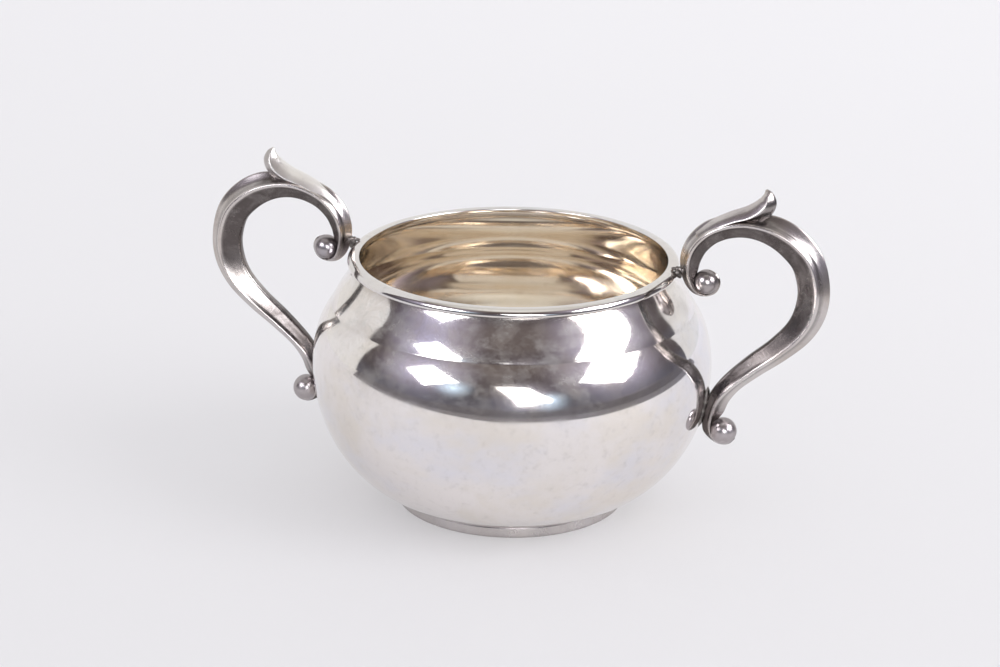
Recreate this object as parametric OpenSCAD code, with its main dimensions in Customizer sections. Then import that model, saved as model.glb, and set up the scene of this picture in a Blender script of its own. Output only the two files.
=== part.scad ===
// Two-handled open sugar bowl in silver: a spun bowl with an applied lip wire,
// a foot ring and a pair of cast scroll handles, all joined with silver solder.
// Millimetres, +Z up, origin at the centre of the foot ring's resting face.
// The handles lie in the XZ plane, one on each side.

/* [Bowl] */
// Largest radius of the belly
belly_r = 50; // [49:0.25:51]
// Height at which the belly is widest
belly_z = 36; // [35.5:0.25:36.5]
// Height from the widest line down to the outside of the flat bottom
belly_drop = 34.5; // [34:0.25:35]
// Height over which the shoulder would close in if it ran on to the flat radius
shoulder_rise = 30.5; // [30:0.25:31]
// Radius of the flat bottom, from which both belly curves spring
flat_r = 21; // [20:0.5:22]
// Height of the shallow groove round the shoulder
groove_z = 51.9; // [51.4:0.1:52.4]
// Depth of the groove
groove_d = 0.65; // [0.45:0.05:0.7]
// Thickness of the spun sheet
sheet_t = 0.9; // [0.8:0.05:1.0]
// Smallest outside radius of the neck
neck_r = 39.3; // [39.2:0.1:39.5]

/* [Lip wire] */
// Outside radius of the lip
lip_r = 41.2; // [41:0.1:41.4]
// Inside radius of the mouth
mouth_r = 38.2; // [38:0.1:38.4]
// Height of the top of the lip
lip_z = 63.8; // [63.4:0.1:64.2]
// Thickness of the lip wire
lip_t = 2.3; // [2.1:0.1:2.4]

/* [Foot ring] */
// Outside radius where the foot stands
foot_r = 28.9; // [28.6:0.1:29.2]
// How far the foot leans in from its base to its top
foot_lean = 0.2; // [0.1:0.05:0.4]
// Width of the resting face
foot_w = 1.5; // [1.3:0.1:1.7]

/* [Handles] */
// Radius of the lower ball
lower_ball_r = 3.4; // [3.3:0.05:3.45]
// Radius of the peg that joins the scroll to the lip
peg_r = 0.85; // [0.7:0.05:0.95]
// Thickness of the solder between the scroll and the belly
solder_t = 0.7; // [0.6:0.05:0.8]

/* [Smoothness] */
// Segments round a turned surface
turned_fn = 128; // [96:16:180]
// Steps between two stations of a sweep
sweep_steps = 3; // [2:1:3]

/* [Hidden] */
HANDLE_PARTS = ["scroll", "leaf", "upper_ball", "lower_ball",
                "upper_peg", "upper_solder", "lower_solder"];

silver = "#c9c8c6";
dull_silver = "#a7a3a0";
solder_grey = "#77716c";
arc_steps = 20;
joint_gap = 0.02;          // clearance where two soldered faces meet
shoulder_end = 40;         // angle at which the shoulder gives way to the neck
groove_below = 7.7;        // how far the groove's flank runs below and above it
groove_above = 8.6;
shell_top = lip_z - lip_t;

upper_ball_r = 3.1;
upper_ball_at = [48.5, 61.37];
lower_ball_at = [54.2, 22.8];

// Stations of the scroll along its side ridge, from the curl round the upper
// ball to the curl round the lower one: [x, z, inner depth, outer depth, half width].
// The inner side faces the finger loop.
scroll_stations = [
    [48.9, 64.1, 0.50, 0.45, 0.5],
    [50.7, 63.2, 0.55, 0.55, 0.8],
    [51.4, 61.3, 0.60, 0.60, 1.0],
    [50.5, 59.2, 0.60, 0.65, 1.2],
    [48.4, 58.3, 0.60, 0.75, 1.5],
    [46.3, 59.1, 0.70, 1.30, 1.9],
    [45.0, 61.1, 1.00, 1.90, 2.4],
    [44.2, 64.2, 2.20, 2.20, 2.8],
    [44.3, 67.7, 2.90, 2.40, 3.1],
    [45.9, 71.4, 3.20, 2.60, 3.2],
    [49.3, 74.8, 3.40, 2.60, 3.3],
    [54.0, 76.9, 3.60, 2.20, 3.3],
    [59.2, 77.5, 3.90, 2.20, 3.3],
    [64.6, 76.4, 4.30, 3.30, 3.3],
    [69.8, 73.6, 4.80, 3.40, 3.3],
    [74.0, 69.0, 5.00, 3.10, 3.3],
    [76.0, 62.2, 5.10, 2.80, 3.3],
    [75.4, 56.0, 5.00, 2.80, 3.2],
    [72.6, 50.4, 4.50, 2.70, 3.1],
    [67.5, 45.2, 3.90, 2.50, 3.0],
    [61.6, 40.4, 3.50, 2.30, 3.0],
    [56.4, 35.8, 3.00, 2.20, 2.9],
    [53.2, 32.0, 2.60, 2.50, 2.8],
    [51.7, 28.6, 2.40, 2.60, 2.7],
    [51.1, 25.6, 2.20, 1.60, 2.5],
    [51.2, 23.0, 2.00, 0.60, 2.2],
    [52.0, 20.9, 0.90, 0.50, 1.6],
    [53.7, 19.7, 0.45, 0.50, 1.1],
    [55.6, 19.9, 0.40, 0.45, 0.7],
    [57.0, 21.2, 0.35, 0.40, 0.5]
];
// Stations of the leaf along its side ridge, from its root on the scroll to its
// curled tip: [x, z, depth towards the scroll, depth of the crown, half width].
leaf_stations = [
    [46.6, 72.6, 0.40, 2.00, 2.5],
    [50.2, 75.6, 0.60, 2.10, 2.9],
    [54.6, 77.9, 0.90, 2.20, 3.2],
    [58.4, 79.3, 1.60, 2.40, 3.4],
    [61.1, 81.0, 2.60, 2.40, 3.1],
    [62.5, 82.9, 2.40, 2.10, 2.4],
    [62.7, 84.7, 1.40, 1.40, 1.4],
    [62.2, 86.1, 0.30, 0.30, 0.3]
];

// ---------------------------------------------------------------- outlines

// How far the shoulder is let in at a height: two curved flanks that meet in the groove.
function groove(z) = groove_d
    * pow(max(0, 1 - abs(z - groove_z) / (z < groove_z ? groove_below : groove_above)), 2);

// A point of the belly, from -90 degrees at the bottom to the shoulder, with
// the surface moved inwards by inset.
function belly(angle, inset = 0) = let (
    rise = angle < 0 ? belly_drop : shoulder_rise,
    let_in = inset + groove(belly_z + rise * sin(angle))
) [
    flat_r + (belly_r - flat_r - let_in) * cos(angle),
    belly_z + (rise - let_in) * sin(angle)
];

// The angle at which the belly passes a given radius below its widest line.
function belly_angle(r, inset = 0) = -acos((r - flat_r) / (belly_r - flat_r - inset));

// A cubic curve through four control points.
function cubic(p, t) = pow(1 - t, 3) * p[0] + 3 * pow(1 - t, 2) * t * p[1]
                     + 3 * (1 - t) * t * t * p[2] + t * t * t * p[3];

// The neck, from the shoulder up to the sheet's top edge.
function neck(inset) = let (
    start = belly(shoulder_end, inset),
    top = [neck_r - inset, shell_top]
) [for (i = [1 : arc_steps])
    cubic([start, start + [-1.35, 2], top + [0.4, -1.5], top], i / arc_steps)];

// One face of the sheet, from the axis up to the top edge.
function sheet_face(inset) = concat(
    [[0, belly_z - belly_drop + inset]],
    [for (i = [0 : 3 * arc_steps])
        belly(-90 + (90 + shoulder_end) * i / (3 * arc_steps), inset)],
    neck(inset)
);

function reversed(list) = [for (i = [len(list) - 1 : -1 : 0]) list[i]];

// A quarter turn of an ellipse about a centre, starting at an angle.
function corner(centre, rx, rz, from, steps = 8) =
    [for (i = [0 : steps]) centre + [rx * cos(from + 90 * i / steps),
                                     rz * sin(from + 90 * i / steps)]];

// ------------------------------------------------------------------- sweeps

function lerp_cr(p0, p1, p2, p3, t) = 0.5 * (2 * p1 + (p2 - p0) * t
    + (2 * p0 - 5 * p1 + 4 * p2 - p3) * t * t + (3 * p1 - p0 - 3 * p2 + p3) * t * t * t);

// A smooth curve through every station, all five values at once.
function smooth(s, steps) = let (last = len(s) - 1) concat(
    [for (i = [0 : last - 1], k = [0 : steps - 1])
        lerp_cr(s[max(i - 1, 0)], s[i], s[i + 1], s[min(i + 2, last)], k / steps)],
    [s[last]]
);

// The section: a keel outwards, a beaded ridge on each side and a rounded
// belly inwards. Each entry is [share of depth, share of half width].
section_half = [[0, 1], [0.10, 0.90], [0.34, 0.56], [0.72, 0.30], [1, 0]];
inner_half = [[0.14, 0.93], [0.42, 0.74], [0.76, 0.42], [1, 0]];

function section(inner, outer, half) = concat(
    [for (p = section_half) [outer * p[0], half * p[1]]],
    [for (i = [len(section_half) - 2 : -1 : 0])
        [outer * section_half[i][0], -half * section_half[i][1]]],
    [for (p = inner_half) [-inner * p[0], -half * p[1]]],
    [for (i = [len(inner_half) - 2 : -1 : 0])
        [-inner * inner_half[i][0], half * inner_half[i][1]]]
);

// Sweeps the section through the stations as one closed polyhedron.
module sweep(stations) {
    path = smooth(stations, sweep_steps);
    n = len(path);
    m = len(section(1, 1, 1));
    rings = [for (i = [0 : n - 1]) let (
        p = path[i],
        d = path[min(i + 1, n - 1)] - path[max(i - 1, 0)],
        l = norm([d[0], d[1]]),
        out = [-d[1] / l, d[0] / l]
    ) [for (q = section(p[2], p[3], p[4])) [p[0] + q[0] * out[0], q[1], p[1] + q[0] * out[1]]]];
    sides = [for (i = [0 : n - 2], j = [0 : m - 1]) let (
        a = i * m + j, b = i * m + (j + 1) % m, c = b + m, e = a + m
    ) each [[a, c, b], [a, e, c]]];
    ends = [[for (j = [0 : m - 1]) j], [for (j = [m - 1 : -1 : 0]) (n - 1) * m + j]];
    polyhedron(points = [for (r = rings, q = r) q], faces = concat(sides, ends), convexity = 10);
}

module mirrored(side) mirror([side == "left" ? 1 : 0, 0, 0]) children();

module turned(outline) rotate_extrude($fn = turned_fn) polygon(outline);

// The bowl's outside as a solid block, grown by a thickness.
module bowl_block(grow) turned(concat(sheet_face(-grow), [[0, shell_top]]));

module ball(at, r) translate([at[0], 0, at[1]]) sphere(r = r, $fn = 48);

// ----------------------------------------------------------------- the parts

// Spun bowl, open at the top.
module bowl_shell() color(silver) turned(concat(sheet_face(0), reversed(sheet_face(sheet_t))));

// Half-round wire that finishes and stiffens the mouth.
module lip_wire() color(silver) let (
    under = 0.3 * lip_t, crown = 0.7 * lip_t, slope = 1.9, edge = 0.85, inner = 0.5
) turned(concat(
    [[mouth_r + 0.2, shell_top]],
    corner([lip_r - edge, shell_top + under], edge, under, -90),
    corner([lip_r - slope, lip_z - crown], slope, crown, 0),
    corner([mouth_r + inner, lip_z - inner], inner, inner - 0.1, 90)
));

// Fillet of solder in the corner under the lip wire.
module lip_solder() color(solder_grey) let (
    r = neck_r + joint_gap, s = 0.55, top = shell_top - joint_gap
) turned([[r, top], [r + 0.22, shell_top - s], [r + 0.36, shell_top - s * 0.6],
          [r + 0.62, top]]);

// Strip foot, bent to a ring and fitted to the underside of the bowl.
module foot_ring() color(silver) let (
    top_out = foot_r - foot_lean, top_in = foot_r - foot_w - foot_lean * 0.6, ease = 0.15,
    from = belly_angle(top_out, -joint_gap), to = belly_angle(top_in, -joint_gap)
) turned(concat(
    [[foot_r - foot_w, 0], [foot_r - ease, 0], [foot_r, ease]],
    [for (i = [0 : 5]) belly(from + (to - from) * i / 5, -joint_gap)]
));

// Fillet of solder inside the foot, under the bowl.
module foot_solder() color(solder_grey) let (
    r = foot_r - foot_w - foot_lean * 0.6 - joint_gap, s = 1.0,
    from = belly_angle(r, -joint_gap), to = belly_angle(r - s, -joint_gap)
) turned(concat(
    [[r + 0.1, belly(from)[1] - s], [r, belly(from)[1] - joint_gap]],
    [for (i = [1 : 4]) belly(from + (to - from) * i / 4, -joint_gap)],
    [[r - s * 0.3, belly(from)[1] - s * 0.45]]
));

module scroll_form() sweep(scroll_stations);

// Cast scroll limb, seated on the belly's solder and hollowed for its balls.
module scroll(side) color(dull_silver) mirrored(side) difference() {
    scroll_form();
    bowl_block(solder_t);
    ball(upper_ball_at, upper_ball_r + joint_gap);
    ball(lower_ball_at, lower_ball_r + joint_gap);
}

// Leaf on the crown of the scroll, where the thumb rests.
module leaf(side) color(dull_silver) mirrored(side) difference() {
    sweep(leaf_stations);
    scroll_form();
}

module upper_ball(side) color(dull_silver) mirrored(side) ball(upper_ball_at, upper_ball_r);

module lower_ball(side) color(dull_silver) mirrored(side) difference() {
    ball(lower_ball_at, lower_ball_r);
    bowl_block(solder_t);
}

// Short peg from the lip's outer edge to the scroll.
module upper_peg(side) color(dull_silver) mirrored(side) difference() {
    translate([lip_r - 1.0, 0, lip_z + peg_r * 0.55]) rotate([0, 90, 0]) union() {
        cylinder(h = 2.6, r = peg_r, $fn = 24);
        sphere(r = peg_r, $fn = 24);
    }
    lip_wire();
    scroll_form();
}

// Drops of solder under the peg.
module upper_solder(side) color(solder_grey) mirrored(side) difference() {
    union() {
        translate([lip_r + 0.15, -0.5, lip_z - 0.50]) sphere(r = 0.75, $fn = 24);
        translate([lip_r + 0.40, 0.55, lip_z - 0.85]) sphere(r = 0.70, $fn = 24);
        translate([lip_r + 0.60, -0.1, lip_z - 1.45]) sphere(r = 0.65, $fn = 24);
    }
    lip_wire();
    scroll_form();
    translate([lip_r - 1.0, 0, lip_z + peg_r * 0.55]) rotate([0, 90, 0])
        cylinder(h = 2.6, r = peg_r + joint_gap, $fn = 24);
}

// Solder pad between the scroll and the belly, bent to the belly's curve.
module lower_solder(side) color(solder_grey) mirrored(side) let (
    low = 23.6, high = 33.6, half = 1.5
) intersection() {
    difference() {
        bowl_block(solder_t - joint_gap);
        bowl_block(joint_gap);
    }
    translate([belly_r - 5, 0, 0]) rotate([90, 0, 90]) linear_extrude(height = 10) union() {
        translate([-half, low + half]) square([2 * half, high - low - 2 * half]);
        translate([0, low + half]) circle(r = half, $fn = 32);
        translate([0, high - half]) circle(r = half, $fn = 32);
    }
}

module handle_part(side, p) {
    if (p == "scroll") scroll(side);
    if (p == "leaf") leaf(side);
    if (p == "upper_ball") upper_ball(side);
    if (p == "lower_ball") lower_ball(side);
    if (p == "upper_peg") upper_peg(side);
    if (p == "upper_solder") upper_solder(side);
    if (p == "lower_solder") lower_solder(side);
}

bowl_shell();
lip_wire();
lip_solder();
foot_ring();
foot_solder();
for (side = ["left", "right"], p = HANDLE_PARTS)
    handle_part(side, p);
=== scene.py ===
"""Looks for the two-handled silver sugar bowl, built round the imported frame."""

import math

import bpy
from mathutils import Matrix, Vector, noise


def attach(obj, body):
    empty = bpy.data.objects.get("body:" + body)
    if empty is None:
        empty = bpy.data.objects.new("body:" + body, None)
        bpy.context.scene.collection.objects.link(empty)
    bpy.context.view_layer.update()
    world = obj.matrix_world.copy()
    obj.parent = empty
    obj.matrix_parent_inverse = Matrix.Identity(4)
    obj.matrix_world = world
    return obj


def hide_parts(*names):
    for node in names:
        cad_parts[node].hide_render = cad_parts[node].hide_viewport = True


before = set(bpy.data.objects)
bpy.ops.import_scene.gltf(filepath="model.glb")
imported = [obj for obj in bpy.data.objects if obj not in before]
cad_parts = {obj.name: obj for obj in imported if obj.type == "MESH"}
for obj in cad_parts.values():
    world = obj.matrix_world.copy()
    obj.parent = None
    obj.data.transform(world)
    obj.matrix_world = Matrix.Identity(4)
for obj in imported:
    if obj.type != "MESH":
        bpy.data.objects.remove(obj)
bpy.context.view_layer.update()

MM = 0.001

# ------------------------------------------------------------------ sizes, mm

TURNED = 208  # vertices round a turned surface
OUTER_STEPS, INNER_STEPS = 230, 130  # rows up the two faces of the sheet
BELLY_R, BELLY_Z = 50.0, 36.0
BELLY_DROP, SHOULDER_RISE = 34.5, 30.5
FLAT_R = 21.0
SHEET = 0.9
NECK_R = 39.3
SHOULDER_END = 40.0  # degrees
GROOVE_Z, GROOVE_DEPTH = 51.9, 0.65
GROOVE_BELOW, GROOVE_ABOVE = 7.7, 8.6
GROOVE_SOFT = 0.05  # rounding at the bottom of the groove
LIP_R, MOUTH_R = 41.2, 38.2
LIP_TOP, LIP_THICK = 63.8, 2.3
LIP_SLOPE, LIP_EDGE, LIP_INSIDE = 1.9, 0.85, 0.5  # widths of the three curves of the lip
SHELL_TOP = LIP_TOP - LIP_THICK
FOOT_R, FOOT_LEAN, FOOT_W = 28.9, 0.2, 1.5
FOOT_EASE = 0.22  # rounding of the foot's lower edge
UPPER_BALL, UPPER_BALL_R = (48.5, 61.37), 3.1
LOWER_BALL, LOWER_BALL_R = (54.2, 22.8), 3.4

# Stations along a side ridge: x, z, inner depth, outer depth, half width.
SCROLL = [
    (48.9, 64.1, 0.50, 0.45, 0.5),
    (50.7, 63.2, 0.55, 0.55, 0.8),
    (51.4, 61.3, 0.60, 0.60, 1.0),
    (50.5, 59.2, 0.60, 0.65, 1.2),
    (48.4, 58.3, 0.60, 0.75, 1.5),
    (46.3, 59.1, 0.70, 1.30, 1.9),
    (45.0, 61.1, 1.00, 1.90, 2.4),
    (44.2, 64.2, 2.20, 2.20, 2.8),
    (44.3, 67.7, 2.90, 2.40, 3.1),
    (45.9, 71.4, 3.20, 2.60, 3.2),
    (49.3, 74.8, 3.40, 2.60, 3.3),
    (54.0, 76.9, 3.60, 2.20, 3.3),
    (59.2, 77.5, 3.90, 2.20, 3.3),
    (64.6, 76.4, 4.30, 3.30, 3.3),
    (69.8, 73.6, 4.80, 3.40, 3.3),
    (74.0, 69.0, 5.00, 3.10, 3.3),
    (76.0, 62.2, 5.10, 2.77, 3.3),
    (75.4, 56.0, 5.00, 2.80, 3.2),
    (72.6, 50.4, 4.50, 2.70, 3.1),
    (67.5, 45.2, 3.90, 2.50, 3.0),
    (61.6, 40.4, 3.50, 2.30, 3.0),
    (56.4, 35.8, 3.00, 2.20, 2.9),
    (53.2, 32.0, 2.60, 2.50, 2.8),
    (51.7, 28.6, 2.40, 2.60, 2.7),
    (51.1, 25.6, 2.20, 1.60, 2.5),
    (51.2, 23.0, 2.00, 0.60, 2.2),
    (52.0, 20.9, 0.90, 0.50, 1.6),
    (53.7, 19.7, 0.45, 0.50, 1.1),
    (55.6, 19.9, 0.40, 0.45, 0.7),
    (57.0, 21.2, 0.35, 0.40, 0.5),
]
LEAF = [
    (46.6, 72.6, 0.40, 2.00, 2.5),
    (50.2, 75.6, 0.60, 2.10, 2.9),
    (54.6, 77.9, 0.90, 2.20, 3.2),
    (58.4, 79.3, 1.60, 2.40, 3.4),
    (61.1, 81.0, 2.60, 2.40, 3.1),
    (62.5, 82.9, 2.40, 2.10, 2.4),
    (62.7, 84.7, 1.40, 1.40, 1.4),
    (62.2, 86.1, 0.30, 0.30, 0.3),
]
SWEEP_STEPS = 9
DROP_AGE = 0.8  # tarnish on the pegs and the solder drops


# -------------------------------------------------------------- mesh building


def catmull(p0, p1, p2, p3, t):
    """A point between p1 and p2 on the smooth curve through four tuples."""
    return tuple(
        0.5 * (2 * b + (c - a) * t + (2 * a - 5 * b + 4 * c - d) * t * t
               + (3 * b - a - 3 * c + d) * t ** 3)
        for a, b, c, d in zip(p0, p1, p2, p3)
    )


def smooth_through(points, steps, closed=False):
    """A finer list that passes through every point given."""
    count = len(points)
    out = []
    for i in range(count if closed else count - 1):
        if closed:
            four = [points[(i + k) % count] for k in (-1, 0, 1, 2)]
        else:
            four = [points[min(max(i + k, 0), count - 1)] for k in (-1, 0, 1, 2)]
        out += [catmull(*four, k / steps) for k in range(steps)]
    if not closed:
        out.append(tuple(points[-1]))
    return out


def mesh_piece(name, points, faces, material, stands_for, tarnish_and_painted_light=None):
    """A smooth-shaded object from points in millimetres, riding on the frame."""
    mesh = bpy.data.meshes.new(name)
    mesh.from_pydata([tuple(c * MM for c in p) for p in points], [], faces)
    mesh.validate()
    for polygon in mesh.polygons:
        polygon.use_smooth = True
    if tarnish_and_painted_light is not None:
        layer = mesh.attributes.new("tarnish_and_painted_light", "FLOAT", "POINT")
        layer.data.foreach_set("value", tarnish_and_painted_light)
    mesh.materials.append(material)
    mesh.update()
    piece = bpy.data.objects.new(name, mesh)
    bpy.context.scene.collection.objects.link(piece)
    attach(piece, "root")
    if stands_for:
        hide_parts(*stands_for)
    return piece


def turned(outline, closed, segments=TURNED, shift=None):
    """Points and faces of an outline of (radius, height) turned about Z."""
    points, rows = [], []
    for radius, height in outline:
        if radius < 1e-6:
            rows.append([len(points)] * segments)
            points.append((0.0, 0.0, height))
            continue
        rows.append(list(range(len(points), len(points) + segments)))
        for i in range(segments):
            turn = 2 * math.pi * i / segments
            r = radius if shift is None else radius + shift(radius, height, turn)
            points.append((r * math.cos(turn), r * math.sin(turn), height))
    faces = []
    pairs = list(zip(rows, rows[1:])) + ([(rows[-1], rows[0])] if closed else [])
    for low, high in pairs:
        for i in range(segments):
            j = (i + 1) % segments
            ring = [low[i], low[j], high[j], high[i]]
            face = [v for k, v in enumerate(ring) if v != ring[k - 1]]
            if len(face) > 2:
                faces.append(face)
    return points, faces


def skinned(rings):
    """Points and faces of a closed skin over rings, with a point at each end."""
    points = [p for ring in rings for p in ring]
    size = len(rings[0])
    faces = []
    for i in range(len(rings) - 1):
        for j in range(size):
            a, b = i * size + j, i * size + (j + 1) % size
            faces.append((a, a + size, b + size, b))
    for ring, start, flip in ((rings[0], 0, False), (rings[-1], len(points) - size, True)):
        centre = len(points)
        points.append(tuple(sum(p[k] for p in ring) / size for k in range(3)))
        for j in range(size):
            a, b = start + j, start + (j + 1) % size
            faces.append((centre, b, a) if flip else (centre, a, b))
    return points, faces


# ------------------------------------------------------------------- outlines


def groove(height):
    """How far the shoulder is let in at a height."""
    off = math.hypot(height - GROOVE_Z, GROOVE_SOFT) - GROOVE_SOFT * 0.5
    run = GROOVE_BELOW if height < GROOVE_Z else GROOVE_ABOVE
    return GROOVE_DEPTH * max(0.0, 1 - off / run) ** 2


def belly(angle, inset=0.0):
    """A point of the belly or shoulder, moved in by inset."""
    rise = BELLY_DROP if angle < 0 else SHOULDER_RISE
    let_in = inset + groove(BELLY_Z + rise * math.sin(angle))
    return (FLAT_R + (BELLY_R - FLAT_R - let_in) * math.cos(angle),
            BELLY_Z + (rise - let_in) * math.sin(angle))


def bezier(p, t):
    """A cubic curve through four control points."""
    w = ((1 - t) ** 3, 3 * (1 - t) ** 2 * t, 3 * (1 - t) * t * t, t ** 3)
    return tuple(sum(w[k] * p[k][axis] for k in range(4)) for axis in range(2))


def sheet_face(inset, steps):
    """One face of the bowl's sheet, from the axis up to its top edge."""
    last = math.radians(SHOULDER_END)
    first = -math.pi / 2
    face = [(0.0, BELLY_Z - BELLY_DROP + inset)]
    face += [(FLAT_R * k / 6, face[0][1]) for k in range(1, 6)]
    crease = math.asin((GROOVE_Z - BELLY_Z) / SHOULDER_RISE)
    angles = [first + (last - first) * i / steps for i in range(steps + 1)]
    angles = [a for a in angles if abs(a - crease) > 0.004]
    angles = sorted(angles + [crease - 0.0025, crease, crease + 0.0025])
    face += [belly(a, inset) for a in angles]
    start, top = face[-1], NECK_R - inset
    control = [start, (start[0] - 1.35, start[1] + 2.0),
               (top + 0.4, SHELL_TOP - 1.5), (top, SHELL_TOP)]
    face += [bezier(control, i / 36) for i in range(1, 37)]
    return face


def arc(cx, cz, rx, rz, start, steps=10):
    """A quarter turn of an ellipse, from start degrees."""
    return [(cx + rx * math.cos(math.radians(start + 90 * i / steps)),
             cz + rz * math.sin(math.radians(start + 90 * i / steps)))
            for i in range(steps + 1)]


def belly_at(radius):
    """The angle at which the lower belly passes a radius."""
    return -math.acos((radius - FLAT_R) / (BELLY_R - FLAT_R))


def belly_radius(height):
    """Outside radius of the lower belly at a height."""
    return FLAT_R + (BELLY_R - FLAT_R) * math.sqrt(
        max(0.0, 1 - ((height - BELLY_Z) / BELLY_DROP) ** 2))


# ------------------------------------------------------------------ materials


class Nodes:
    """Short calls for building a node tree."""

    def __init__(self, material):
        material.use_nodes = True
        self.tree = material.node_tree
        self.shader = self.tree.nodes["Principled BSDF"]
        self.coords = self.add("ShaderNodeTexCoord").outputs["Object"]

    def add(self, kind, **settings):
        node = self.tree.nodes.new(kind)
        for key, value in settings.items():
            setattr(node, key, value)
        return node

    def link(self, source, target):
        self.tree.links.new(source, target)

    def noise(self, scale, detail=2.0, rough=0.5, stretch=None, turn=0.0, distortion=0.0):
        node = self.add("ShaderNodeTexNoise")
        node.inputs["Scale"].default_value = scale
        node.inputs["Detail"].default_value = detail
        node.inputs["Roughness"].default_value = rough
        node.inputs["Distortion"].default_value = distortion
        source = self.coords
        if stretch:
            mapping = self.add("ShaderNodeMapping")
            mapping.inputs["Scale"].default_value = stretch
            mapping.inputs["Rotation"].default_value = (turn, turn * 0.7, turn * 1.3)
            self.link(source, mapping.inputs["Vector"])
            source = mapping.outputs["Vector"]
        self.link(source, node.inputs["Vector"])
        return node.outputs["Fac"]

    def span(self, value, low, high, to_low=0.0, to_high=1.0):
        node = self.add("ShaderNodeMapRange", interpolation_type="SMOOTHSTEP")
        for key, number in (("From Min", low), ("From Max", high),
                            ("To Min", to_low), ("To Max", to_high)):
            node.inputs[key].default_value = number
        self.link(value, node.inputs["Value"])
        return node.outputs["Result"]

    def maths(self, kind, a, b):
        node = self.add("ShaderNodeMath", operation=kind)
        for socket, value in zip(node.inputs, (a, b)):
            if isinstance(value, (int, float)):
                socket.default_value = value
            else:
                self.link(value, socket)
        return node.outputs[0]

    def mix(self, factor, a, b):
        node = self.add("ShaderNodeMix", data_type="RGBA")
        for socket, value in ((node.inputs[0], factor), (node.inputs[6], a), (node.inputs[7], b)):
            if isinstance(value, tuple):
                socket.default_value = (*value, 1.0)
            elif isinstance(value, float):
                socket.default_value = value
            else:
                self.link(value, socket)
        return node.outputs[2]

    def bump(self, height, strength, distance, under=None):
        node = self.add("ShaderNodeBump")
        node.inputs["Strength"].default_value = strength
        node.inputs["Distance"].default_value = distance
        self.link(height, node.inputs["Height"])
        if under is not None:
            self.link(under, node.inputs["Normal"])
        return node.outputs["Normal"]


def shoulder_film(n, colour, film):
    """Mottled brown and green tarnish on the front of the shoulder, partly diffuse."""
    split = n.add("ShaderNodeSeparateXYZ")
    n.link(n.coords, split.inputs[0])
    front = n.maths("MULTIPLY", n.span(split.outputs["X"], -0.041, -0.027),
                    n.span(split.outputs["X"], 0.032, 0.042, 1.0, 0.0))
    shoulder = n.maths("MULTIPLY", n.span(split.outputs["Z"], 0.036, 0.048), front)
    brown = n.span(n.noise(150, 6, 0.7, distortion=0.6), 0.44, 0.62)
    brown = n.maths("MULTIPLY", shoulder, brown)
    green = n.span(n.noise(120, 5, 0.7, stretch=(1.0, 1.0, 1.7), turn=1.1), 0.46, 0.64)
    green = n.maths("MULTIPLY", shoulder, green)
    colour = n.mix(n.maths("MULTIPLY", brown, 0.25), colour, (0.60, 0.50, 0.40))
    colour = n.mix(n.maths("MULTIPLY", green, 0.20), colour, (0.56, 0.57, 0.50))
    cover = n.maths("ADD", n.maths("MULTIPLY", brown, 0.10), n.maths("MULTIPLY", green, 0.16))
    n.link(n.maths("SUBTRACT", 1.0, cover), n.shader.inputs["Metallic"])
    cloudy = n.maths("MULTIPLY", green, film)
    n.link(n.maths("ADD", cloudy, 0.6 * film), n.shader.inputs["Coat Weight"])
    n.shader.inputs["Coat Roughness"].default_value = 0.36
    n.shader.inputs["Coat IOR"].default_value = 1.6
    return colour


def silver(name, clean, warm, cool, tarnish, shine, wear, hammer, film=0.0):
    """Polished silver with cloudy tarnish, hairline scratches and finger haze.

    shine is the least and the greatest roughness, and what full tarnish adds.
    """
    material = bpy.data.materials.new(name)
    n = Nodes(material)
    cloud = n.span(n.noise(42, 5, 0.62, distortion=0.4), 0.42, 0.68)
    blush = n.span(n.noise(27, 4, 0.6, stretch=(1.0, 1.0, 1.6), turn=0.6), 0.5, 0.72)
    mottled = n.span(n.noise(420, 5, 0.7), 0.5, 0.75)
    tarnish_and_painted_light = n.add("ShaderNodeAttribute", attribute_name="tarnish_and_painted_light").outputs["Fac"]
    patchy = n.span(n.noise(150, 6, 0.68, distortion=0.8), 0.32, 0.66, 0.88, 1.06)
    dark = n.maths("MULTIPLY", tarnish_and_painted_light, patchy)
    colour = n.mix(n.maths("MULTIPLY", cloud, 0.75), clean, warm)
    colour = n.mix(n.maths("MULTIPLY", blush, 0.7), colour, cool)
    colour = n.mix(n.maths("MULTIPLY", mottled, 0.18), colour, tarnish)
    colour = n.mix(dark, colour, tarnish)
    n.shader.inputs["Metallic"].default_value = 1.0
    if film:
        colour = shoulder_film(n, colour, film)
    n.link(colour, n.shader.inputs["Base Color"])
    haze = n.span(n.noise(95, 6, 0.7), 0.4, 0.75, shine[0], shine[1])
    haze = n.maths("ADD", haze, n.maths("MULTIPLY", dark, shine[2]))
    n.link(haze, n.shader.inputs["Roughness"])
    scratches = [((26, 1500, 700), 0.5), ((900, 22, 1300), 1.9), ((1100, 1300, 30), 2.8)]
    normal = n.bump(n.noise(38, 2, 0.45), hammer, 0.002)
    for stretch, turn in scratches:
        line = n.span(n.noise(1.0, 3, 0.6, stretch=stretch, turn=turn), 0.66, 0.74)
        normal = n.bump(line, wear, 0.00002, under=normal)
    n.link(normal, n.shader.inputs["Normal"])
    return material


def solder(name):
    """Dull, pitted silver solder, blotched dark."""
    material = bpy.data.materials.new(name)
    n = Nodes(material)
    blot = n.span(n.noise(700, 6, 0.7), 0.35, 0.7)
    pits = n.noise(1900, 4, 0.65)
    colour = n.mix(blot, (0.10, 0.09, 0.085), (0.38, 0.355, 0.33))
    n.link(colour, n.shader.inputs["Base Color"])
    n.link(n.span(pits, 0.3, 0.7, 0.28, 0.55), n.shader.inputs["Roughness"])
    n.shader.inputs["Metallic"].default_value = 1.0
    n.link(n.bump(pits, 0.5, 0.0002), n.shader.inputs["Normal"])
    return material


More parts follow.
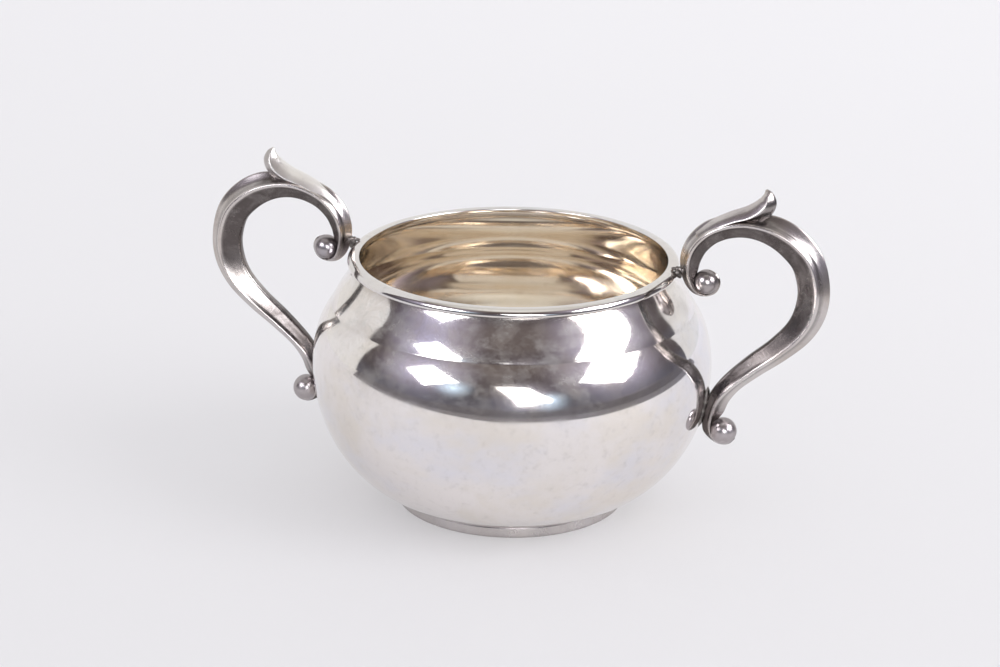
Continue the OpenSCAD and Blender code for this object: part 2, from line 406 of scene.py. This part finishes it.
BODY = silver("body_silver", (0.85, 0.81, 0.79), (0.79, 0.735, 0.66), (0.77, 0.77, 0.84),
              (0.36, 0.31, 0.29), (0.055, 0.14, 0.12), 0.10, 0.012, film=0.5)
INSIDE = silver("inside_silver", (0.91, 0.86, 0.79), (0.88, 0.81, 0.71), (0.89, 0.865, 0.83),
                (0.62, 0.53, 0.44), (0.06, 0.15, 0.10), 0.10, 0.02)
FOOT = silver("foot_silver", (0.80, 0.76, 0.75), (0.72, 0.67, 0.62), (0.70, 0.69, 0.75),
              (0.15, 0.13, 0.135), (0.20, 0.30, 0.10), 0.08, 0.02)
LIP = silver("lip_silver", (0.86, 0.83, 0.80), (0.79, 0.74, 0.69), (0.78, 0.78, 0.82),
             (0.40, 0.35, 0.32), (0.06, 0.13, 0.10), 0.10, 0.01)
CAST = silver("cast_silver", (0.73, 0.685, 0.665), (0.58, 0.515, 0.46), (0.56, 0.535, 0.59),
              (0.118, 0.102, 0.098), (0.20, 0.27, 0.06), 0.04, 0.03)
# A brighter, rougher copy of the cast silver for the left leaf: painted light, as that leaf catches the
# light.
LIT_LEAF_COPY = silver("lit_leaf_silver", (0.92, 0.89, 0.86), (0.84, 0.80, 0.73), (0.82, 0.82, 0.86),
                  (0.24, 0.21, 0.20), (0.28, 0.38, 0.06), 0.04, 0.03)
BALLS = silver("ball_silver", (0.55, 0.51, 0.52), (0.46, 0.42, 0.40), (0.44, 0.42, 0.48),
               (0.20, 0.17, 0.17), (0.27, 0.34, 0.05), 0.04, 0.03)
SOLDER = solder("solder")

# ----------------------------------------------------------------- the pieces


def worn(radius, height, turn):
    """The slight unevenness of the spun sheet."""
    at = Vector((math.cos(turn) * 1.6, math.sin(turn) * 1.6, height * 0.045))
    return -0.03 * (1.0 + noise.noise(at * 1.3)) * min(1.0, radius / 20)


def lumpy(radius, height, turn):
    """The unevenness of a run of solder."""
    return 0.05 * noise.noise(Vector((math.cos(turn) * 30, math.sin(turn) * 30, height)))


def band(height, middle, reach):
    """1 at the middle height, falling to 0 at reach above and below."""
    return max(0.0, 1 - abs(height - middle) / reach)


def body_tarnish_and_shade(x, y, z):
    """How dark the outside is: tarnish at the foot, the shoulder and the neck, and painted shade on the
    lower left.
    """
    cloud = noise.noise(Vector((x, y, z * 1.4)) * 0.11) + 0.5 * noise.noise(Vector((x, y, z)) * 0.27)
    low = max(0.0, 1 - (z - 1.5) / 1.3) + 0.8 * band(z, 2.8, 0.22)
    # Painted shade: the lower left of the belly is darkened, standing in for the bowl's shadow on the
    # floor seen in reflection.
    low += 0.35 * max(0.0, -x / BELLY_R) ** 2 * band(z, 13, 14)
    low += 0.75 * max(0.0, cloud) * band(z, 54, 9)
    return min(1.0, 0.55 * low + 0.40 * band(z, 60.8, 1.6) + 0.10 * band(z, GROOVE_Z - 0.2, 0.9))


def bowl_body():
    """The outside and the inside of the spun body."""
    points, faces = turned(sheet_face(0.0, OUTER_STEPS), closed=False, shift=worn)
    tarnish_and_painted_light = [body_tarnish_and_shade(*point) for point in points]
    mesh_piece("bowl_body", points, faces, BODY, ["bowl_shell"], tarnish_and_painted_light)

    points, faces = turned(sheet_face(SHEET, INNER_STEPS)[::-1], closed=False)
    tarnish_and_painted_light = [0.25 * max(0.0, 1 - z / 9) for x, y, z in points]
    mesh_piece("bowl_inside", points, faces, INSIDE, None, tarnish_and_painted_light)


def lip():
    """The wire round the mouth, and the solder in the corner under it."""
    under, crown = 0.3 * LIP_THICK, 0.7 * LIP_THICK
    outline = [(MOUTH_R + 0.2, SHELL_TOP)]
    outline += arc(LIP_R - LIP_EDGE, SHELL_TOP + under, LIP_EDGE, under, -90, 16)
    outline += arc(LIP_R - LIP_SLOPE, LIP_TOP - crown, LIP_SLOPE, crown, 0, 20)[1:]
    outline += arc(MOUTH_R + LIP_INSIDE, LIP_TOP - LIP_INSIDE, LIP_INSIDE, LIP_INSIDE - 0.1, 90)
    outline += [(MOUTH_R + 0.04, LIP_TOP - 1.2)]
    points, faces = turned(outline, closed=True)
    tarnish_and_painted_light = [0.5 if z < SHELL_TOP + 0.2 else 0.10 for x, y, z in points]
    mesh_piece("lip_wire", points, faces, LIP, ["lip_wire"], tarnish_and_painted_light)

    root = NECK_R - 0.02
    points, faces = turned([(root - 0.1, SHELL_TOP), (root + 0.08, SHELL_TOP - 0.55),
                            (root + 0.24, SHELL_TOP - 0.48), (root + 0.33, SHELL_TOP - 0.25),
                            (root + 0.48, SHELL_TOP - 0.1), (root + 0.64, SHELL_TOP)],
                           closed=True, shift=lumpy)
    mesh_piece("lip_solder", points, faces, SOLDER, ["lip_solder"])


def belly_run(start, end, steps):
    """Points along the lower belly between two of its angles."""
    return [belly(start + (end - start) * i / steps) for i in range(steps + 1)]


def foot():
    """The foot ring and the solder fillet inside it."""
    top_out, top_in = FOOT_R - FOOT_LEAN, FOOT_R - FOOT_W - FOOT_LEAN * 0.6
    first, last = belly_at(top_out), belly_at(top_in)
    seam = belly(first)[1]
    outline = [(FOOT_R - FOOT_W, 0.0), (FOOT_R - FOOT_EASE, 0.0)]
    outline += [(FOOT_R - FOOT_EASE + FOOT_EASE * math.sin(math.radians(a)),
                 FOOT_EASE - FOOT_EASE * math.cos(math.radians(a))) for a in range(15, 91, 15)]
    outline += [(FOOT_R - FOOT_LEAN * t, FOOT_EASE + (seam - FOOT_EASE) * t)
                for t in (0.2, 0.4, 0.6, 0.8, 0.9)]
    outline += [(top_out - 0.12, seam - 0.1)]
    outline += belly_run(first, last, 5)
    points, faces = turned(outline, closed=True)
    tarnish_and_painted_light = [1.0 if z > seam - 0.3 else 0.36 + 0.3 * max(0.0, 1 - z / 0.35) for x, y, z in points]
    mesh_piece("foot_ring", points, faces, FOOT, ["foot_ring"], tarnish_and_painted_light)

    face = belly_run(last, belly_at(top_in - 1.0), 4)
    corner = face[0][1]
    outline = [(top_in + 0.1, corner - 1.0), (top_in + 0.02, corner)] + face
    outline += [(top_in - 0.45, corner - 0.32), (top_in - 0.15, corner - 0.65)]
    points, faces = turned(outline, closed=True, shift=lumpy)
    mesh_piece("foot_solder", points, faces, SOLDER, ["foot_solder"])


def scroll_section(inner, outer, half):
    """Half outlines of (depth, width): outer keel, hollow flank, bead, inner belly."""
    k = min(1.0, half / 3.3, outer / 2.0, inner / 2.0)
    bead = [
        (0.46 * k, half - 0.36 * k), (0.34 * k, half - 0.16 * k),
        (0.18 * k, half - 0.04 * k), (0.0, half), (-0.20 * k, half - 0.04 * k),
        (-0.42 * k, half - 0.16 * k),
    ]
    flank = [
        (outer, 0.0), (outer - 0.10 * k, 0.26 * k), (0.80 * outer, 0.20 * half),
        (0.58 * outer, 0.36 * half), (0.38 * outer, 0.55 * half), (0.25 * outer + 0.1 * k, 0.72 * half),
    ]
    cheek = [
        (-0.28 * inner, 0.80 * half), (-0.48 * inner, 0.675 * half), (-0.70 * inner, 0.535 * half),
        (-0.925 * inner, 0.39 * half), (-0.99 * inner, 0.21 * half), (-inner, 0.0),
    ]
    side = flank + bead + cheek
    return side + [(u, -w) for u, w in side[-2:0:-1]]


def leaf_section(inner, outer, half):
    """Outline of the leaf: a crowned top, sharp edges and a rounded back."""
    side = [
        (outer, 0.0), (0.97 * outer, 0.18 * half), (0.86 * outer, 0.38 * half),
        (0.66 * outer, 0.58 * half), (0.42 * outer, 0.76 * half), (0.20 * outer, 0.90 * half),
        (0.05 * outer, 0.98 * half), (-0.05 * inner, 0.985 * half), (-0.22 * inner, 0.88 * half),
        (-0.50 * inner, 0.66 * half), (-0.78 * inner, 0.40 * half), (-0.95 * inner, 0.16 * half),
        (-inner, 0.0),
    ]
    return side + [(u, -w) for u, w in side[-2:0:-1]]


def swept(stations, section, refine, hand):
    """Rings of a section carried along its stations, with the section's own (depth, width)."""
    path = smooth_through(stations, SWEEP_STEPS)
    rings, marks = [], []
    for i, (x, z, inner, outer, half) in enumerate(path):
        ahead, behind = path[min(i + 1, len(path) - 1)], path[max(i - 1, 0)]
        dx, dz = ahead[0] - behind[0], ahead[1] - behind[1]
        length = math.hypot(dx, dz)
        out_x, out_z = -dz / length, dx / length
        outline = smooth_through(section(inner, outer, half), refine, closed=True)
        rings.append([(hand * (x + u * out_x), w, z + u * out_z) for u, w in outline])
        marks.append([(u, w, inner, outer, half, i / (len(path) - 1)) for u, w in outline])
    if hand < 0:
        rings = [ring[::-1] for ring in rings]
        marks = [mark[::-1] for mark in marks]
    return rings, marks


def near(x, z, spot, reach):
    """1 at a spot in the handle's plane, falling to 0 at reach."""
    return max(0.0, 1 - math.hypot(x - spot[0], z - spot[1]) / reach)


def scroll_tarnish_and_highlight(mark, point, hand):
    """How dark the tarnish is on the scroll: hollows, inner faces and joints.

    On the left cheek the tarnish is thinned in a band: a painted highlight.
    """
    u, w, inner, outer, half, along = mark
    x, z = hand * point[0], point[2]
    depth = u / outer if u > 0 else u / inner
    flank = max(0.0, 1 - abs(depth - 0.30) / 0.28) if u > 0 else 0.0
    cheek = 0.80 * min(1.0, max(0.0, -depth - 0.05) / 0.12) if u < 0 else 0.0
    # Painted highlight: less tarnish on the left cheek around 50 mm up, so the reflection there shows
    # bright.
    if hand < 0:
        cheek *= 1 - 0.75 * band(z, 50.5, 7.5)
    joint = max(near(x, z, (62.5, 78.8), 4.5) * (u > 0), near(x, z, (50.0, 28.5), 6.5),
                near(x, z, (43.4, 63.8), 4.0) * 0.8)
    curl = max(near(x, z, UPPER_BALL, 4.6), near(x, z, LOWER_BALL, 5.0)) * 0.9
    bead = 1.0 if abs(u) > 0.55 * min(1.0, half / 3.3) else 0.25
    return min(1.0, (0.45 * flank + cheek + 0.18) * bead + 0.75 * joint + 0.6 * curl)


def ball(name, centre, radius, hand, node):
    """A cast ball, slightly flattened at the sides, with its poles along Y."""
    rows = []
    for i in range(25):
        turn = math.pi * i / 24
        squash = 1.0 - 0.02 * math.cos(turn) ** 4
        rows.append((radius * math.sin(turn), radius * math.cos(turn) * squash))
    rows[0], rows[-1] = (0.0, rows[0][1]), (0.0, rows[-1][1])
    points, faces = turned(rows[::-1], closed=False, segments=48)
    points = [(hand * (centre[0] + x), hand * z, centre[1] + y) for x, y, z in points]
    tarnish_and_painted_light = []
    for x, y, z in points:
        toward = (hand * x - centre[0]) / radius
        tarnish_and_painted_light.append(min(1.0, 0.22 + 0.45 * max(0.0, 1 - abs(y) / (0.62 * radius)) + 0.1 * toward))
    mesh_piece(name, points, [f[::-1] for f in faces], BALLS, [node], tarnish_and_painted_light)


def blobs(name, spots, material, nodes, hand, rough=0.12):
    """A cluster of small tarnished drops: x, y, z, radius in X, Y and Z."""
    points, faces = [], []
    for number, (cx, cy, cz, rx, ry, rz) in enumerate(spots):
        rows = [(math.sin(math.pi * i / 14), -math.cos(math.pi * i / 14)) for i in range(15)]
        rows[0], rows[-1] = (0.0, -1.0), (0.0, 1.0)
        some, some_faces = turned(rows, closed=False, segments=24)
        start = len(points)
        for x, y, z in some:
            lump = 1 + rough * noise.noise(Vector((x * 2 + number * 9.1, y * 2, z * 2)))
            points.append((hand * (cx + x * rx * lump), cy + y * ry * lump, cz + z * rz * lump))
        for face in some_faces:
            face = [start + v for v in face]
            faces.append(face if hand > 0 else face[::-1])
    mesh_piece(name, points, faces, material, nodes, [DROP_AGE] * len(points))


def solder_pad(name, hand, node):
    """Solder on the belly beside the scroll, thin at its edge and pitted."""
    rows, columns = 44, 20
    low, high, half = 23.2, 34.0, 1.75
    points, faces = [], []
    for layer in (1, 0):
        for i in range(rows + 1):
            z = low + (high - low) * i / rows
            end = 1 - abs(2 * i / rows - 1) ** 3
            wide = half * max(0.08, end) ** 0.5
            for j in range(columns + 1):
                s = 2 * j / columns - 1
                y = wide * s
                spot = Vector((y * 1.1, z * 1.1, 3.0 + hand))
                wavy = 1 + 0.35 * noise.noise(spot) + 0.18 * noise.noise(spot * 3.3)
                dome = max(0.0, 1 - abs(s) ** 2.5) ** 0.5 * max(0.0, end) ** 0.5
                radius = belly_radius(z) + (0.72 * dome * wavy - 0.04 if layer else -0.12)
                x = math.sqrt(radius * radius - y * y)
                points.append((hand * x, hand * y, z))
    size = (rows + 1) * (columns + 1)
    wide = columns + 1
    for i in range(rows):
        for j in range(columns):
            a = i * wide + j
            faces.append((a, a + 1, a + wide + 1, a + wide))
            b = a + size
            faces.append((b, b + wide, b + wide + 1, b + 1))
    rim = [j for j in range(wide)] + [i * wide + columns for i in range(1, rows + 1)]
    rim += [rows * wide + j for j in range(columns - 1, -1, -1)]
    rim += [i * wide for i in range(rows - 1, 0, -1)]
    for k, a in enumerate(rim):
        b = rim[(k + 1) % len(rim)]
        faces.append((a, a + size, b + size, b))
    mesh_piece(name, points, faces, SOLDER, [node])


def handle(side, hand):
    """One scroll handle with its leaf, balls, peg and solder."""
    rings, marks = swept(SCROLL, scroll_section, 3, hand)
    points, faces = skinned(rings)
    flat = [m for ring in marks for m in ring]
    tarnish_and_painted_light = [scroll_tarnish_and_highlight(m, p, hand) for m, p in zip(flat, points)] + [0.6, 0.6]
    mesh_piece(side + "_scroll", points, faces, CAST, [side + "_scroll"], tarnish_and_painted_light)

    # Painted light: the left leaf takes the bright copy with little tarnish, the right leaf the darker
    # cast silver with more.
    leaf_material_by_light, film = (CAST, 0.17) if hand > 0 else (LIT_LEAF_COPY, 0.05)
    rings, marks = swept(LEAF, leaf_section, 3, hand)
    points, faces = skinned(rings)
    flat = [m for ring in marks for m in ring]
    tarnish_and_painted_light = []
    for mark, point in zip(flat, points):
        u, w, inner, outer, half, along = mark
        # Painted shade: the back of the leaf, its underside, is darkened with the tarnish colour.
        back = 0.55 * min(1.0, max(0.0, -u) / 0.6)
        root = 0.15 * near(hand * point[0], point[2], (47.0, 73.5), 6.0)
        tarnish_and_painted_light.append(min(1.0, film + back + root))
    tarnish_and_painted_light += [0.5, 0.1]
    mesh_piece(side + "_leaf", points, faces, leaf_material_by_light, [side + "_leaf"], tarnish_and_painted_light)

    ball(side + "_upper_ball", UPPER_BALL, UPPER_BALL_R, hand, side + "_upper_ball")
    ball(side + "_lower_ball", LOWER_BALL, LOWER_BALL_R, hand, side + "_lower_ball")
    blobs(side + "_upper_peg",
          [(40.45, 0.0, 64.05, 0.75, 0.42, 0.42), (41.3, 0.05, 64.1, 0.75, 0.62, 0.60),
           (42.35, 0.0, 64.0, 1.05, 0.95, 0.92)],
          CAST, [side + "_upper_peg"], hand)
    blobs(side + "_upper_solder",
          [(41.35, -0.5, 63.30, 0.75, 0.7, 0.7), (41.60, 0.55, 62.95, 0.7, 0.65, 0.7),
           (41.80, -0.1, 62.35, 0.65, 0.6, 0.65)],
          SOLDER, [side + "_upper_solder"], hand, 0.3)
    solder_pad(side + "_lower_solder", hand, side + "_lower_solder")


bowl_body()
lip()
foot()
handle("left", -1)
handle("right", 1)

# --------------------------------------------------------------- the studio

AZIMUTH, ELEVATION, DISTANCE = 13.79, 20.09, 0.701
AIM_ACROSS, AIM_UP, ROLL, LENS = -0.00312, 0.04294, 0.82, 100.8

# Seen from the bowl: azimuth and elevation in degrees, counted as for the camera.
SOFTBOXES = {
    "left": (((-53, 27), (-41, 39)), ((-37, 14), (-18, 26))),
    "middle": (((5, 25), (22, 24.5)), ((18, 3), (36, 7))),
    "right": (((54, 25), (84, 51)), ((80, 13), (108, 35))),
}
SOFTBOX_AWAY = 1.5  # metres
HALO_AWAY = 1.4  # metres from the bowl to the glow cards
VIOLET, BLUE = (0.80, 0.76, 1.0), (0.60, 0.82, 1.0)
# Glows: middle, half angle across, strength and tint.
HALOS = {
    "left": ((-43, 30), 36, 0.95, VIOLET),
    "left_low": ((-20, 18), 15, 1.6, BLUE),
    "middle": ((22, 12), 26, 0.45, VIOLET),
    "middle_low": ((35, 7), 14, 1.3, BLUE),
    "right": ((80, 31), 43, 0.95, VIOLET),
}
SWEEP_TURNS = (130, 277)
# The reflected room by the height of the direction, from the horizon to overhead.
ROOM_TONES = (
    (0.0, (0.125, 0.12, 0.145)), (0.10, (0.105, 0.10, 0.12)), (0.25, (0.085, 0.07, 0.075)),
    (0.6, (0.11, 0.088, 0.09)), (0.82, (0.17, 0.14, 0.13)), (0.89, (0.40, 0.37, 0.34)),
    (0.94, (0.75, 0.73, 0.70)), (1.0, (0.95, 0.94, 0.91)),
)
REAR_CEILING = (0.74, 0.725, 0.70, 1.0)


def make_camera():
    """The camera at the viewing angle, level but for a slight roll."""
    a, e, r = (math.radians(v) for v in (AZIMUTH, ELEVATION, ROLL))
    back = Vector((math.sin(a) * math.cos(e), -math.cos(a) * math.cos(e), math.sin(e)))
    right = Vector((math.cos(a), math.sin(a), 0.0))
    up = back.cross(right)
    right, up = right * math.cos(r) + up * math.sin(r), up * math.cos(r) - right * math.sin(r)
    aim = Vector((AIM_ACROSS * math.cos(a), AIM_ACROSS * math.sin(a), AIM_UP))
    data = bpy.data.cameras.new("camera")
    data.lens = LENS
    data.sensor_width = 36.0
    data.clip_start, data.clip_end = 0.01, 50.0
    camera = bpy.data.objects.new("camera", data)
    basis = Matrix((right, up, back)).transposed().to_4x4()
    camera.matrix_world = Matrix.Translation(aim + back * DISTANCE) @ basis
    bpy.context.scene.collection.objects.link(camera)
    bpy.context.scene.camera = camera


def toward(azimuth, elevation, distance, centre=(0.0, 0.0, 0.045)):
    """A point seen from the bowl at an azimuth, counted as for the camera."""
    a, e = math.radians(azimuth), math.radians(elevation)
    step = Vector((math.sin(a) * math.cos(e), -math.cos(a) * math.cos(e), math.sin(e)))
    return Vector(centre) + step * distance


def glow(name, colour, strength):
    """A plain shining surface for a softbox or a bright wall."""
    material = bpy.data.materials.new(name)
    material.use_nodes = True
    tree = material.node_tree
    tree.nodes.clear()
    shine = tree.nodes.new("ShaderNodeEmission")
    shine.inputs["Color"].default_value = (*colour, 1.0)
    shine.inputs["Strength"].default_value = strength
    out = tree.nodes.new("ShaderNodeOutputMaterial")
    tree.links.new(shine.outputs[0], out.inputs["Surface"])
    return material


def card(name, rows, material, diffuse=True):
    """A stage surface through rows of points, not seen by the camera itself."""
    wide = len(rows[0])
    points = [tuple(p) for row in rows for p in row]
    faces = [(i * wide + j, i * wide + j + 1, (i + 1) * wide + j + 1, (i + 1) * wide + j)
             for i in range(len(rows) - 1) for j in range(wide - 1)]
    mesh = bpy.data.meshes.new(name)
    mesh.from_pydata(points, [], faces)
    mesh.materials.append(material)
    mesh.update()
    obj = bpy.data.objects.new(name, mesh)
    bpy.context.scene.collection.objects.link(obj)
    obj.visible_camera = False
    obj.visible_shadow = False
    obj.visible_diffuse = diffuse
    return obj


def halo(name, at, across, strength, tint):
    """A faint glow round a softbox, fading outwards, for reflections only."""
    material = bpy.data.materials.new(name)
    material.use_nodes = True
    tree = material.node_tree
    tree.nodes.clear()
    coords = tree.nodes.new("ShaderNodeTexCoord")
    ball = tree.nodes.new("ShaderNodeTexGradient")
    ball.gradient_type = "QUADRATIC_SPHERE"
    tree.links.new(coords.outputs["Object"], ball.inputs["Vector"])
    level = tree.nodes.new("ShaderNodeMath")
    level.operation = "MULTIPLY"
    level.inputs[1].default_value = strength
    tree.links.new(ball.outputs["Fac"], level.inputs[0])
    shine = tree.nodes.new("ShaderNodeEmission")
    shine.inputs["Color"].default_value = (*tint, 1.0)
    tree.links.new(level.outputs[0], shine.inputs["Strength"])
    clear = tree.nodes.new("ShaderNodeBsdfTransparent")
    both = tree.nodes.new("ShaderNodeAddShader")
    out = tree.nodes.new("ShaderNodeOutputMaterial")
    tree.links.new(shine.outputs[0], both.inputs[0])
    tree.links.new(clear.outputs[0], both.inputs[1])
    tree.links.new(both.outputs[0], out.inputs["Surface"])
    rows = [[(i, j, 0.0) for i in (-1.0, 1.0)] for j in (-1.0, 1.0)]
    obj = card(name, rows, material, diffuse=False)
    reach = HALO_AWAY * math.tan(math.radians(across))
    facing = (toward(*at, 0.0) - toward(*at, HALO_AWAY)).to_track_quat("Z", "Y").to_matrix().to_4x4()
    obj.matrix_world = Matrix.Translation(toward(*at, HALO_AWAY)) @ facing @ Matrix.Scale(reach, 4)


def make_floor():
    """A wide pale floor with painted light: paler further back, with a faint random tone, and glowing so
    that shadows on it stay faint.
    """
    material = bpy.data.materials.new("floor")
    n = Nodes(material)
    split = n.add("ShaderNodeSeparateXYZ")
    n.link(n.coords, split.inputs[0])
    # Painted light falloff: the floor's colour is paler the further back it lies.
    away = n.span(split.outputs["Y"], -0.25, 0.9)
    tone = n.maths("ADD", n.maths("MULTIPLY", away, 0.85), n.maths("MULTIPLY", n.noise(3.0, 3, 0.5), 0.15))
    floor_with_painted_falloff = n.mix(tone, (0.437, 0.431, 0.438), (0.512, 0.507, 0.517))
    n.link(floor_with_painted_falloff, n.shader.inputs["Base Color"])
    # Painted light: the floor glows with its own colour, which fills in the shadows on it.
    n.link(floor_with_painted_falloff, n.shader.inputs["Emission Color"])
    n.shader.inputs["Emission Strength"].default_value = 0.77
    n.shader.inputs["Roughness"].default_value = 0.75
    n.shader.inputs["Specular IOR Level"].default_value = 0.25
    mesh = bpy.data.meshes.new("floor")
    reach = 6.0
    mesh.from_pydata([(-reach, -reach, 0), (reach, -reach, 0), (reach, reach, 0),
                      (-reach, reach, 0)], [], [(0, 1, 2, 3)])
    mesh.materials.append(material)
    floor = bpy.data.objects.new("floor", mesh)
    bpy.context.scene.collection.objects.link(floor)


def make_softboxes():
    """Softboxes and their glows for the reflections, and a key for the floor's shadow."""
    boxes = {name: [[toward(*corner, SOFTBOX_AWAY) for corner in row] for row in rows]
             for name, rows in SOFTBOXES.items()}
    white = glow("softbox", (0.97, 0.98, 1.0), 9.0)
    for name, rows in boxes.items():
        card("softbox_" + name, rows, white, diffuse=False)
    key = card("softbox_key", boxes["right"], glow("softbox_key", (0.98, 0.98, 1.0), 5.0))
    key.visible_glossy = False
    for name, (at, across, strength, tint) in HALOS.items():
        halo("halo_" + name, at, across, strength, tint)


def make_room():
    """The pale sweep behind the bowl, and the dark floor beyond the table in front."""
    first, last = SWEEP_TURNS
    turns = [first + (last - first) * i / 24 for i in range(25)]
    wall = [[toward(a, e, 1.0) for a in turns] for e in (-4, 12, 28, 45, 58)]
    card("white_sweep", wall, glow("white_sweep", (1.0, 0.995, 1.0), 0.86), diffuse=False)

    turns = range(-83, 141, 8)
    table = [0.24 + 0.3 * max(0.0, (5 - a) / 88) ** 1.2 + 0.08 * max(0.0, (a - 60) / 80)
             for a in turns]
    for name, start, end, tone in (("table_edge", 1.0, 1.5, (0.245, 0.235, 0.255)),
                                   ("room_floor", 1.5, 40.0, (0.145, 0.135, 0.15))):
        rows = [[toward(a, 0, away * k, (0, 0, 0.001)) for a, away in zip(turns, table)]
                for k in (start, end)]
        card(name, rows, glow(name, tone, 1.0), diffuse=False)


def map_range(tree, source, low, high):
    """A node that brings a value from low to high into 0 to 1."""
    node = tree.nodes.new("ShaderNodeMapRange")
    node.inputs["From Min"].default_value = low
    node.inputs["From Max"].default_value = high
    tree.links.new(source, node.inputs["Value"])
    return node.outputs["Result"]


def make_world():
    """Pale for the camera and the fill. In reflections, a dark room with a light ceiling."""
    world = bpy.data.worlds.new("studio")
    bpy.context.scene.world = world
    world.use_nodes = True
    tree = world.node_tree
    tree.nodes.clear()
    coords = tree.nodes.new("ShaderNodeTexCoord")
    split = tree.nodes.new("ShaderNodeSeparateXYZ")
    tree.links.new(coords.outputs["Generated"], split.inputs[0])

    ramp = tree.nodes.new("ShaderNodeValToRGB")
    tree.links.new(split.outputs["Z"], ramp.inputs[0])
    for place, colour in ROOM_TONES[1:-1]:
        ramp.color_ramp.elements.new(place)
    for element, (place, colour) in zip(ramp.color_ramp.elements, ROOM_TONES):
        element.position = place
        element.color = (*colour, 1.0)

    rear = tree.nodes.new("ShaderNodeMath")
    rear.operation = "MULTIPLY"
    tree.links.new(map_range(tree, split.outputs["Y"], 0.02, 0.40), rear.inputs[0])
    tree.links.new(map_range(tree, split.outputs["Z"], 0.72, 0.85), rear.inputs[1])
    room = tree.nodes.new("ShaderNodeMixRGB")
    tree.links.new(rear.outputs[0], room.inputs["Fac"])
    tree.links.new(ramp.outputs[0], room.inputs["Color1"])
    room.inputs["Color2"].default_value = REAR_CEILING

    reflected = tree.nodes.new("ShaderNodeBackground")
    tree.links.new(room.outputs[0], reflected.inputs["Color"])
    plain = tree.nodes.new("ShaderNodeBackground")
    plain.inputs["Color"].default_value = (0.97, 0.965, 1.0, 1.0)
    plain.inputs["Strength"].default_value = 0.88
    path = tree.nodes.new("ShaderNodeLightPath")
    mixed = tree.nodes.new("ShaderNodeMixShader")
    tree.links.new(path.outputs["Is Glossy Ray"], mixed.inputs[0])
    tree.links.new(plain.outputs[0], mixed.inputs[1])
    tree.links.new(reflected.outputs[0], mixed.inputs[2])
    out = tree.nodes.new("ShaderNodeOutputWorld")
    tree.links.new(mixed.outputs[0], out.inputs["Surface"])


make_camera()
make_floor()
make_softboxes()
make_room()
make_world()
view = bpy.context.scene.view_settings
view.view_transform = "Standard"
view.look = "None"
view.exposure = 0.0
view.gamma = 1.0

# The inside of the bowl needs many reflections, or its sides turn black.
bpy.context.scene.cycles.glossy_bounces = 10
